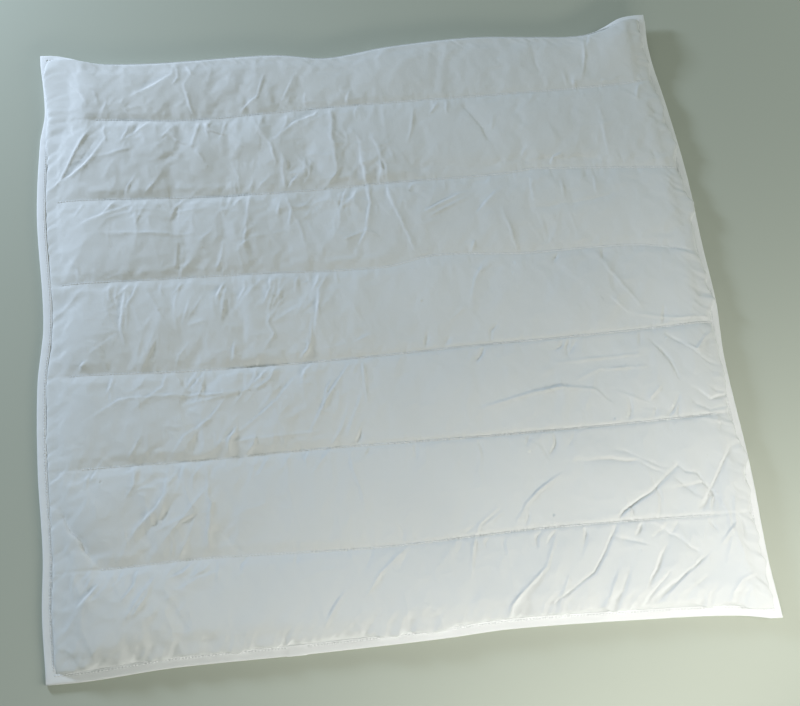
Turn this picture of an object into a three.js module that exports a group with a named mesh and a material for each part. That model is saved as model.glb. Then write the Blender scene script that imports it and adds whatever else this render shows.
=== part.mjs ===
// Baby duvet, 80 x 80 cm, lying flat: a filled body quilted into seven channels,
// and the folded tape that binds its edge. Millimetres, +Z up, +Y towards the turned-down edge.
// Places on the cut cloth run from 0 to side in x and y, from the near left corner.
// Places of the duvet as it lies use the same corner.

import * as THREE from "three";

// Driving dimensions
const side = 800; // cut size of the square duvet, tape included
const channels = 7; // filled channels, parted by six sewn lines
const tapeWidth = 11; // visible width of the binding tape
const tapeThickness = 0.9; // one leg of the folded tape
const hemThickness = 1.2; // two covers and flattened filling inside the tape
const gap = 0.3; // clearance between the hem and the tape
const hemDepth = 9; // how far the hem reaches into the tape

const crownHeight = 16.5; // top of a full channel above the surface that it lies on
const seamHeight = 6.2; // top of the cloth along a sewn line
const seamHollow = 1.6; // how far the underside is pulled up along a sewn line
const edgeRound = 30; // distance from the tape in which the filling comes up to full height
const tuckReach = 14; // the underside stays off the surface this far in from the hanging tape

const halfTape = hemThickness / 2 + gap + tapeThickness;
const inner = tapeWidth; // where the filled part starts, from the cut edge
const outer = side - tapeWidth;
const pitch = side / channels;

// The outline as it lies: where each side's outer edge is drawn to.
const leftEdge = [
  { y: 0, x: 4 },
  { y: 72, x: 0 },
  { y: 138, x: 1 },
  { y: 235, x: -4 },
  { y: 337, x: -4 },
  { y: 412, x: 3 },
  { y: 555, x: -4 },
  { y: 660, x: 0 },
  { y: 706, x: 6 },
  { y: 800, x: 1 },
];
const rightEdge = [
  { y: 0, x: 799 },
  { y: 70, x: 798 },
  { y: 165, x: 801 },
  { y: 298, x: 799 },
  { y: 372, x: 804 },
  { y: 470, x: 803 },
  { y: 565, x: 803 },
  { y: 650, x: 797 },
  { y: 745, x: 787 },
  { y: 800, x: 789 },
];
const bottomEdge = [
  { x: 0, y: -3 },
  { x: 45, y: -3 },
  { x: 134, y: 2 },
  { x: 275, y: 2 },
  { x: 419, y: 4 },
  { x: 500, y: 7 },
  { x: 641, y: 3 },
  { x: 749, y: -3 },
  { x: 800, y: -13 },
];

// The far side is tucked: y is where the filled part ends, and turn, in degrees,
// is how far the tape there hangs down from level.
const topEdge = [
  { x: 11, y: 774, turn: 0 },
  { x: 42, y: 770, turn: 42 },
  { x: 80, y: 763, turn: 78 },
  { x: 150, y: 760, turn: 80 },
  { x: 300, y: 762, turn: 80 },
  { x: 368, y: 753, turn: 80 },
  { x: 450, y: 765, turn: 80 },
  { x: 560, y: 772, turn: 80 },
  { x: 650, y: 767, turn: 80 },
  { x: 712, y: 764, turn: 78 },
  { x: 742, y: 770, turn: 48 },
  { x: 768, y: 779, turn: 12 },
  { x: 789, y: 781, turn: 0 },
];

// The sewn lines from near to far: between which x they run, and where they lie.
const seams = [
  {
    from: 62,
    to: 742,
    path: [
      { x: 0, y: 114 },
      { x: 62, y: 112 },
      { x: 180, y: 114 },
      { x: 367, y: 108 },
      { x: 540, y: 112 },
      { x: 662, y: 111 },
      { x: 800, y: 108 },
    ],
  },
  {
    from: 48,
    to: 772,
    path: [
      { x: 0, y: 228 },
      { x: 175, y: 226 },
      { x: 321, y: 227 },
      { x: 500, y: 225 },
      { x: 683, y: 226 },
      { x: 800, y: 229 },
    ],
  },
  {
    from: 36,
    to: 788,
    path: [
      { x: 0, y: 342 },
      { x: 203, y: 334 },
      { x: 362, y: 334 },
      { x: 523, y: 338 },
      { x: 655, y: 340 },
      { x: 800, y: 346 },
    ],
  },
  {
    from: 22,
    to: 764,
    path: [
      { x: 0, y: 459 },
      { x: 127, y: 455 },
      { x: 246, y: 453 },
      { x: 402, y: 449 },
      { x: 467, y: 460 },
      { x: 572, y: 454 },
      { x: 717, y: 454 },
      { x: 800, y: 436 },
    ],
  },
  {
    from: 24,
    to: 786,
    path: [
      { x: 0, y: 572 },
      { x: 192, y: 562 },
      { x: 315, y: 561 },
      { x: 427, y: 564 },
      { x: 566, y: 566 },
      { x: 605, y: 570 },
      { x: 800, y: 558 },
    ],
  },
  {
    from: 66,
    to: 776,
    path: [
      { x: 0, y: 683 },
      { x: 69, y: 681 },
      { x: 175, y: 673 },
      { x: 362, y: 679 },
      { x: 478, y: 681 },
      { x: 621, y: 683 },
      { x: 740, y: 687 },
      { x: 800, y: 693 },
    ],
  },
];

// Corners that stand off the surface.
const liftedCorners = [
  { x: 800, y: 800, rise: 12, reach: 120 },
  { x: 0, y: 800, rise: 5, reach: 80 },
  { x: 800, y: 0, rise: 2.5, reach: 60 },
];

// Where the filling lies thicker or thinner than the crown height.
const lumps = [
  { x: 60, y: 730, reach: 60, rise: 1.5 },
  { x: 130, y: 635, reach: 55, rise: 2 },
  { x: 230, y: 590, reach: 50, rise: -3 },
  { x: 320, y: 620, reach: 45, rise: -2.5 },
  { x: 450, y: 730, reach: 60, rise: 2 },
  { x: 620, y: 630, reach: 80, rise: 1.5 },
  { x: 130, y: 508, reach: 50, rise: 1.5 },
  { x: 340, y: 520, reach: 40, rise: -2 },
  { x: 560, y: 505, reach: 70, rise: 1.5 },
  { x: 150, y: 395, reach: 60, rise: 2 },
  { x: 420, y: 395, reach: 60, rise: -1.5 },
  { x: 640, y: 386, reach: 80, rise: 2.5 },
  { x: 230, y: 286, reach: 55, rise: -2 },
  { x: 480, y: 282, reach: 80, rise: 2 },
  { x: 60, y: 168, reach: 45, rise: 1.5 },
  { x: 330, y: 168, reach: 80, rise: 2 },
  { x: 560, y: 62, reach: 60, rise: 1.5 },
  { x: 755, y: 168, reach: 40, rise: -2 },
  { x: 120, y: 54, reach: 60, rise: 2 },
  { x: 735, y: 58, reach: 45, rise: -3 },
];

// Main folds of the top cover as it lies, soft ridges (rise above 0) or troughs (below 0).
const folds = [
  { from: [70, 674], to: [27, 598], width: 13, rise: 3 },
  { from: [64, 108], to: [17, 190], width: 14, rise: -3 },
  { from: [182, 116], to: [185, 206], width: 12, rise: 3.5 },
  { from: [90, 128], to: [154, 204], width: 17, rise: 3 },
  { from: [124, 116], to: [206, 202], width: 17, rise: 3 },
  { from: [173, 744], to: [196, 616], width: 14, rise: 3 },
  { from: [104, 706], to: [169, 734], width: 15, rise: 2 },
  { from: [362, 676], to: [362, 584], width: 15, rise: 3.5 },
  { from: [394, 617], to: [390, 498], width: 14, rise: 4 },
  { from: [412, 626], to: [424, 545], width: 14, rise: 3 },
  { from: [424, 545], to: [446, 470], width: 14, rise: 2.5 },
  { from: [256, 572], to: [241, 484], width: 16, rise: 3.5 },
  { from: [348, 670], to: [286, 632], width: 13, rise: 2.5 },
  { from: [302, 534], to: [316, 478], width: 14, rise: 3 },
  { from: [96, 620], to: [190, 618], width: 15, rise: -3 },
  { from: [562, 514], to: [573, 457], width: 15, rise: 2.5 },
  { from: [72, 519], to: [180, 508], width: 14, rise: 2.5 },
  { from: [100, 443], to: [94, 372], width: 13, rise: 3 },
  { from: [288, 434], to: [256, 346], width: 14, rise: 3.5 },
  { from: [219, 440], to: [210, 391], width: 14, rise: 2.5 },
  { from: [126, 306], to: [236, 306], width: 13, rise: 2.5 },
  { from: [150, 236], to: [290, 324], width: 15, rise: 3 },
  { from: [302, 250], to: [352, 324], width: 13, rise: 2.5 },
  { from: [505, 260], to: [636, 270], width: 14, rise: 2 },
  { from: [600, 186], to: [700, 164], width: 16, rise: -3 },
  { from: [524, 120], to: [578, 172], width: 13, rise: 3 },
  { from: [614, 78], to: [712, 170], width: 13, rise: 4 },
  { from: [552, 29], to: [614, 78], width: 14, rise: 3 },
  { from: [664, 33], to: [650, 14], width: 13, rise: 2.5 },
  { from: [655, 16], to: [730, 66], width: 13, rise: 2.5 },
  { from: [96, 58], to: [118, 96], width: 15, rise: 2.5 },
  { from: [676, 406], to: [708, 372], width: 15, rise: 2 },
];

const clamp01 = (t) => Math.min(1, Math.max(0, t));
const ease = (t) => clamp01(t) ** 2 * (3 - 2 * clamp01(t));

// A smooth value read from a table whose rows are in the order of the column key.
function readTable(table, key, value, at) {
  let i = table.findIndex((row) => row[key] >= at);
  i = Math.min(table.length - 1, Math.max(1, i < 0 ? table.length - 1 : i));
  const [a, b] = [table[i - 1], table[i]];
  const before = table[Math.max(0, i - 2)];
  const after = table[Math.min(table.length - 1, i + 1)];
  const length = b[key] - a[key];
  const slopeIn = ((b[value] - before[value]) / (b[key] - before[key])) * length;
  const slopeOut = ((after[value] - a[value]) / (after[key] - a[key])) * length;
  const t = clamp01((at - a[key]) / length);
  return (
    a[value] * (1 - 3 * t ** 2 + 2 * t ** 3) +
    b[value] * (3 * t ** 2 - 2 * t ** 3) +
    slopeIn * t * (1 - t) ** 2 -
    slopeOut * t ** 2 * (1 - t)
  );
}

function lift(x, y) {
  return liftedCorners.reduce((sum, corner) => {
    const near = clamp01(1 - Math.hypot(x - corner.x, y - corner.y) / corner.reach);
    return sum + corner.rise * ease(near);
  }, 0);
}

const turnAt = (x) => THREE.MathUtils.degToRad(readTable(topEdge, "x", "turn", x));

// How far y a point of the cut cloth lies: between the near edge, the sewn lines and the far edge.
function laidY(x, y) {
  const channel = Math.min(channels - 1, Math.max(0, Math.floor(y / pitch)));
  const low = channel === 0 ? inner : channel * pitch;
  const high = channel === channels - 1 ? outer : (channel + 1) * pitch;
  const seamY = (line) => readTable(seams[line - 1].path, "x", "y", x);
  const lowY = channel === 0 ? readTable(bottomEdge, "x", "y", x) + inner : seamY(channel);
  const highY = channel === channels - 1 ? readTable(topEdge, "x", "y", x) : seamY(channel + 1);
  return lowY + ((highY - lowY) * (y - low)) / (high - low);
}

// Where a point of the cut cloth lies, seen from above.
function laid(x, y) {
  const left = readTable(leftEdge, "y", "x", y) + inner;
  const right = readTable(rightEdge, "y", "x", y) - inner;
  return [left + ((right - left) * (x - inner)) / (outer - inner), laidY(x, y)];
}

// Height of the tape's middle where it meets the filled part.
function hemHeight(x, y) {
  const turn = y === outer ? turnAt(x) : 0;
  return tapeWidth * Math.sin(turn) + halfTape * Math.cos(turn) + lift(x, y);
}

// 0 at the tape, 1 where the filling is at full height.
function fullness(x, y) {
  const round = (distance) => Math.sqrt(1 - (1 - clamp01(distance / edgeRound)) ** 2);
  return round(x - inner) * round(outer - x) * round(y - inner) * round(outer - y);
}

// 1 on a sewn line, 0 at reach from it, and mostly gone past the ends of the lines.
function sewn(x, y, reach, power) {
  const line = Math.min(channels - 1, Math.max(1, Math.round(y / pitch)));
  const { from, to } = seams[line - 1];
  const away = clamp01(Math.abs(y - line * pitch) / reach);
  const past = Math.max(from - x, x - to);
  return (1 - away) ** power * (0.2 + 0.8 * ease((18 - past) / 24));
}

function foldRise(x, y) {
  return folds.reduce((sum, fold) => {
    const [fx, fy] = fold.from;
    const [dx, dy] = [fold.to[0] - fx, fold.to[1] - fy];
    const along = clamp01(((x - fx) * dx + (y - fy) * dy) / (dx ** 2 + dy ** 2));
    const away = Math.hypot(x - fx - along * dx, y - fy - along * dy) / fold.width;
    const taper = Math.sin(Math.PI * (0.12 + 0.76 * along));
    return sum + fold.rise * taper * ease(1 - away);
  }, 0);
}

function lumpRise(x, y) {
  return lumps.reduce((sum, lump) => {
    const near = 1 - Math.hypot(x - lump.x, y - lump.y) / lump.reach;
    return sum + lump.rise * ease(near);
  }, 0);
}

function topHeight(x, y) {
  const crown = crownHeight + lumpRise(...laid(x, y)) + foldRise(...laid(x, y));
  const filled = seamHeight + (crown - seamHeight) * (1 - sewn(x, y, pitch / 2, 2.6));
  const farHem = hemHeight(x, outer) - lift(x, outer);
  const hem = halfTape + (farHem - halfTape) * ease(1 - (outer - y) / edgeRound);
  return hem + (filled - hem) * fullness(x, y) + lift(x, y);
}

// The underside clears the tape that hangs down along the far side.
function bottomHeight(x, y) {
  const inward = outer - y;
  const clear = hemHeight(x, outer) - (0.4 * inward) / Math.tan(Math.max(0.1, turnAt(x)));
  const rest = lift(x, y) + seamHollow * sewn(x, y, 16, 1) * fullness(x, y);
  return inward > tuckReach ? rest : Math.max(rest, clear);
}

// Grid lines across and along the filled part, closer together at the edge and at the sewn lines.
const edgeSteps = [0, 4, 10, 19, 32, 48];
const middleCells = 58;
function columnLines() {
  const first = inner + edgeSteps.at(-1);
  const cell = (outer - inner - 2 * edgeSteps.at(-1)) / middleCells;
  const middle = Array.from({ length: middleCells - 1 }, (_, i) => first + cell * (i + 1));
  const start = edgeSteps.map((step) => inner + step);
  const end = edgeSteps.map((step) => outer - step).reverse();
  return [...start, ...middle, ...end];
}

const channelSteps = [0, 0.05, 0.14, 0.29, 0.5, 0.71, 0.86, 0.95];
const endChannelSteps = [0, 0.04, 0.11, 0.23, 0.42, 0.66, 0.85, 0.95];
function rowLines() {
  const lines = [];
  for (let channel = 0; channel < channels; channel++) {
    const low = Math.max(inner, channel * pitch);
    const high = Math.min(outer, (channel + 1) * pitch);
    const last = channel === channels - 1;
    const steps = channel === 0 || last ? endChannelSteps : channelSteps;
    steps.forEach((step, i) => {
      const mirrored = i ? 1 - steps[steps.length - i] : 0;
      lines.push(low + (high - low) * (last ? mirrored : step));
    });
  }
  return [...lines, outer];
}

const columns = columnLines();
const rows = rowLines();
const lastColumn = columns.length - 1;
const lastRow = rows.length - 1;

// The stations round the tape, counter-clockwise seen from above, one for each grid line.
// base is the middle of the hem where the filling ends, out points along the hem to its raw edge.
function makeStations() {
  const places = [];
  for (let i = 0; i < lastColumn; i++) places.push([i, 0]);
  for (let j = 0; j < lastRow; j++) places.push([lastColumn, j]);
  for (let i = lastColumn; i > 0; i--) places.push([i, lastRow]);
  for (let j = lastRow; j > 0; j--) places.push([0, j]);
  return places.map(([i, j]) => {
    const [x, y] = [columns[i], rows[j]];
    const turn = j === lastRow ? turnAt(x) : 0;
    const acrossOut = i === 0 ? -1 : i === lastColumn ? 1 : 0;
    const alongOut = j === 0 ? -1 : j === lastRow ? 1 : 0;
    return {
      column: i,
      row: j,
      base: new THREE.Vector3(...laid(x, y), hemHeight(x, y)),
      out: new THREE.Vector3(acrossOut, alongOut * Math.cos(turn), -Math.sin(turn)),
      normal: new THREE.Vector3(0, Math.sin(turn), Math.cos(turn)),
    };
  });
}

const stations = makeStations();

const atStation = (station, out, up) =>
  station.base.clone().addScaledVector(station.out, out).addScaledVector(station.normal, up);

// Collects points and triangles into one closed geometry.
class Surface {
  points = [];
  triangles = [];

  point(p) {
    this.points.push(p.x, p.y, p.z);
    return this.points.length / 3 - 1;
  }

  quad(a, b, c, d) {
    this.triangles.push(a, b, c, a, c, d);
  }

  // A cell's outline as triangles that all meet in its point apex.
  fan(outline, apex) {
    const loop = [...outline.slice(apex), ...outline.slice(0, apex)].filter((p) => p !== undefined);
    for (let k = 1; k < loop.length - 1; k++) this.triangles.push(loop[0], loop[k], loop[k + 1]);
  }

  // Quads between two rings of as many points, split along one diagonal or, crossed, the other.
  band(ring, next, crossed = false) {
    ring.forEach((_, i) => {
      const j = (i + 1) % ring.length;
      if (crossed) this.quad(ring[j], next[j], next[i], ring[i]);
      else this.quad(ring[i], ring[j], next[j], next[i]);
    });
  }

  geometry() {
    const made = new THREE.BufferGeometry();
    made.setAttribute("position", new THREE.Float32BufferAttribute(this.points, 3));
    made.setIndex(this.triangles);
    made.computeVertexNormals();
    return made;
  }
}

const cloth = (colour, roughness) =>
  new THREE.MeshStandardMaterial({ color: colour, roughness, metalness: 0 });

// A grid of points inside a rim of one point for each station, every step-th line of it.
function gridInside(surface, rim, height, step) {
  const found = new Map(stations.map((s, i) => [`${s.column},${s.row}`, rim[i]]));
  for (let j = step; j < lastRow; j += step)
    for (let i = step; i < lastColumn; i += step) {
      const [x, y] = laid(columns[i], rows[j]);
      const z = height(columns[i], rows[j]);
      found.set(`${i},${j}`, surface.point(new THREE.Vector3(x, y, z)));
    }
  return (i, j) => found.get(`${i},${j}`);
}

// The filled body: its two covers as one closed skin, with the flattened hem round it.
function quiltedBody() {
  const skin = new Surface();
  const half = hemThickness / 2;
  const rim = (out, up) => stations.map((station) => skin.point(atStation(station, out, up)));
  const topRim = rim(0, half);
  const topHem = rim(hemDepth, half);
  const bottomHem = rim(hemDepth, -half);
  const bottomRim = rim(0, -half);

  const top = gridInside(skin, topRim, topHeight, 1);
  for (let j = 0; j < lastRow; j++)
    for (let i = 0; i < lastColumn; i++)
      skin.quad(top(i, j), top(i + 1, j), top(i + 1, j + 1), top(i, j + 1));

  // Crossed, so that the twisted hem is split as the tape round it is.
  skin.band(topHem, topRim, true);
  skin.band(bottomHem, topHem, true);
  skin.band(bottomRim, bottomHem, true);

  // The underside takes every second grid line, and joins each point of the rim.
  const bottom = gridInside(skin, bottomRim, bottomHeight, 2);
  for (let j = 0; j < lastRow; j += 2)
    for (let i = 0; i < lastColumn; i += 2) {
      const outline = [
        bottom(i, j),
        i === 0 ? bottom(i, j + 1) : undefined,
        bottom(i, j + 2),
        j + 2 === lastRow ? bottom(i + 1, j + 2) : undefined,
        bottom(i + 2, j + 2),
        i + 2 === lastColumn ? bottom(i + 2, j + 1) : undefined,
        bottom(i + 2, j),
        j === 0 ? bottom(i + 1, j) : undefined,
      ];
      const inRight = i < lastColumn / 2;
      const inFar = j < lastRow / 2;
      skin.fan(outline, inRight ? (inFar ? 4 : 6) : inFar ? 2 : 0);
    }
  const mesh = new THREE.Mesh(skin.geometry(), cloth(0xe9ecec, 0.85));
  mesh.name = "quilted_body";
  return mesh;
}

// The binding: one tape folded over the hem all round, thicker where its ends overlap.
const tapeJoint = { x: 300, length: 24, extra: 0.6 };
function edgeBinding() {
  const tape = new Surface();
  const slot = hemThickness / 2 + gap;
  const overlap = (station) => {
    const away = Math.abs(columns[station.column] - tapeJoint.x);
    return station.row === 0 && away < tapeJoint.length / 2 ? tapeJoint.extra : 0;
  };
  const ring = (out, up, joint = 0) =>
    stations.map((station) => tape.point(atStation(station, out, up + joint * overlap(station))));
  const section = [
    ring(0, slot),
    ring(hemDepth + gap, slot),
    ring(hemDepth + gap, -slot),
    ring(0, -slot),
    ring(0, -halfTape),
    ring(tapeWidth, -halfTape * 0.8),
    ring(tapeWidth, halfTape * 0.8, 1),
    ring(0, halfTape, 1),
  ];
  section.forEach((points, i) => tape.band(points, section[(i + 1) % section.length]));
  const mesh = new THREE.Mesh(tape.geometry(), cloth(0xf2f4f4, 0.75));
  mesh.name = "edge_binding";
  return mesh;
}

const duvet = new THREE.Group();
duvet.add(quiltedBody(), edgeBinding());

// The frame's origin is under the middle of the cut square, on the surface that it lies on.
duvet.position.set(-side / 2, -side / 2, 0);

export default duvet;
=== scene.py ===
import math

import bpy
import numpy as np
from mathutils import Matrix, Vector


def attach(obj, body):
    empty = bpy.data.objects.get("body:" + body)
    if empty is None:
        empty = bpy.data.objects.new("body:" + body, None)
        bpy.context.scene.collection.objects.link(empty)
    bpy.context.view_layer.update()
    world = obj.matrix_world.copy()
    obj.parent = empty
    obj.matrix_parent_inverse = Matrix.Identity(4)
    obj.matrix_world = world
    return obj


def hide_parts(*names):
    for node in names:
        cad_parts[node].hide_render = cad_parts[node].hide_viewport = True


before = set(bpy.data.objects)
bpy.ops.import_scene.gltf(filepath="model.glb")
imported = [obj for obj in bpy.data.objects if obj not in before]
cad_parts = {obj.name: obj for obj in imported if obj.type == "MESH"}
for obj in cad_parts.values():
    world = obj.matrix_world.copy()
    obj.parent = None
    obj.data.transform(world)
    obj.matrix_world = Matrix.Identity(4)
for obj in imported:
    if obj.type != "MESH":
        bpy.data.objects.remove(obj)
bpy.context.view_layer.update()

# Lengths are in millimetres until makeMesh. A place (x, y) on the cut cloth runs from 0 to
# side, from the near left corner; origin is where the model's frame has that corner.
side = 800.0
channels = 7
pitch = side / channels
origin = np.array([-400.0, -400.0, 0.0])

body = dict(
    crown=15.5,  # top of a full channel
    sag=2.4,  # a channel's fall toward its sewn lines
    valley=1.3,  # the narrow valley that the stitches pull in
    valleyReach=13.0,
    groove=1.5,  # and the thin line at its bottom
    seamHollow=1.6,  # the underside's lift along a sewn line
    edgeRound=(58.0, 26.0, 26.0, 26.0),  # to full height: left, right, near and far
    edgePower=(0.9, 0.5, 0.5, 0.5),  # 0.5 is a round edge, more is a sloping one
    hem=1.2,  # flattened covers inside the tape
    hemDepth=9.0,
    cell=6.0,  # spacing of the grid that settles
    finer=4,  # the last grid is this many times finer
    overhang=(5.0, 9.0, 6.5, 0.0),  # how far the filled edge bulges out, in the same order
    triangles=192000,
)
tape = dict(
    width=11.0,
    slope=10.0,  # degrees that it falls from the filled edge to the floor
    levelled=0.85,  # share of the slope that is lost by the near left corner
    levelReach=300,  # how far from that corner
    leg=0.85,  # thickness of one leg of the fold
    legRoom=0.9,  # room for the leg under the hem
    clear=0.3,  # between hem and tape
    station=2.6,  # spacing of sections along the tape
    stitchInset=2.2,  # stitches from the inner edge
    jointAt=264.0,  # where the tape's ends overlap on the near side
    jointLength=20.0,
    jointRise=0.55,
    jointWider=0.5,
    swell=0.5,  # how much its upper side rises here and there
    foldRound=1.2,  # from the flat part to the outer fold
    lining=1.9,  # how far the inside of the fold stops short
    dimple=0.3,  # depth that the stitches pull in
    dimpleReach=1.1,
)
inner = tape["width"]
outer = side - inner
halfTape = body["hem"] / 2 + tape["clear"] + tape["legRoom"]

# Where the four sides and the sewn lines lie once the duvet has drawn in.
leftEdge = dict(
    y=(0, 72, 138, 235, 337, 412, 555, 660, 706, 800),
    x=(4, 0, 1, -4, -4, 3, -4, 0, 6, 1),
)
rightEdge = dict(
    y=(0, 70, 165, 298, 372, 470, 565, 650, 745, 800),
    x=(799, 798, 801, 799, 804, 803, 803, 797, 787, 789),
)
nearEdge = dict(
    x=(0, 45, 134, 275, 419, 500, 641, 749, 800),
    y=(-3, -3, 2, 2, 4, 7, 3, -3, -13),
)
farEdge = dict(  # turn is how far the tape hangs down from level there, in degrees
    x=(11, 42, 80, 150, 300, 368, 450, 560, 650, 712, 742, 768, 789),
    y=(774, 770, 763, 760, 762, 753, 765, 772, 767, 764, 770, 779, 781),
    turn=(0, 42, 78, 80, 80, 80, 80, 80, 80, 78, 48, 12, 0),
)
seams = [
    dict(span=(62, 742), x=(0, 62, 180, 367, 540, 662, 800), y=(114, 112, 114, 108, 112, 111, 108)),
    dict(span=(48, 772), x=(0, 175, 321, 500, 683, 800), y=(228, 226, 227, 225, 226, 229)),
    dict(span=(36, 788), x=(0, 203, 362, 523, 655, 800), y=(342, 334, 334, 338, 340, 346)),
    dict(
        span=(22, 764),
        x=(0, 127, 246, 402, 467, 572, 717, 800),
        y=(459, 455, 453, 449, 460, 454, 454, 436),
    ),
    dict(
        span=(24, 786),
        x=(0, 192, 315, 427, 566, 605, 800),
        y=(572, 562, 561, 564, 566, 570, 558),
    ),
    dict(
        span=(66, 776),
        x=(0, 69, 175, 362, 478, 621, 740, 800),
        y=(683, 681, 673, 679, 681, 683, 687, 693),
    ),
]
liftedCorners = [(800, 800, 120, 12.0), (0, 800, 80, 5.0), (800, 0, 60, 2.5)]  # x, y, reach, rise

lumps = [  # x, y, reach, rise
    (60, 730, 60, 1.5), (130, 635, 55, 2.0), (230, 590, 50, -3.0), (320, 620, 45, -2.5),
    (450, 730, 60, 2.0), (620, 630, 80, 1.5), (130, 508, 50, 1.5), (340, 520, 40, -2.0),
    (560, 505, 70, 1.5), (150, 395, 60, 2.0), (420, 395, 60, -1.5), (640, 386, 80, 2.5),
    (230, 286, 55, -2.0), (480, 282, 80, 2.0), (60, 168, 45, 1.5), (330, 168, 80, 2.0),
    (560, 62, 60, 1.5), (755, 168, 40, -2.0), (120, 54, 60, 2.0), (735, 58, 45, -3.0),
]

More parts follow.
